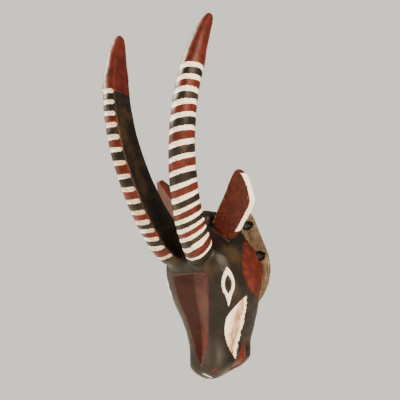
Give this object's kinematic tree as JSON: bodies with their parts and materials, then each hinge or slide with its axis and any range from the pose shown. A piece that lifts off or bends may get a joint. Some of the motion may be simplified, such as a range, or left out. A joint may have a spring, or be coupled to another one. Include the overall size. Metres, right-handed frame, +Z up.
{
  "type": "carved antelope head wall mask",
  "caption": "Hollow carved wooden antelope head with tall ringed horns, leaf ears and a flat-backed collar that hangs against a wall.",
  "frame": {"origin": "on the flat back of the collar, on the middle line above the hollow, where the mask bears on the wall", "axes": "+Z up along the mask, +Y into the wall, so the face looks along -Y, +X to the animal's left"},
  "size_m": [0.179, 0.196, 0.4744],
  "materials": {
    "painted_wood": "hand-carved wood in satin black paint, with red-brown and cream white painted carvings and a bare brown collar"
  },
  "bodies": {
    "root": {"carved_mask": "painted_wood"}
  },
  "joints": []
}
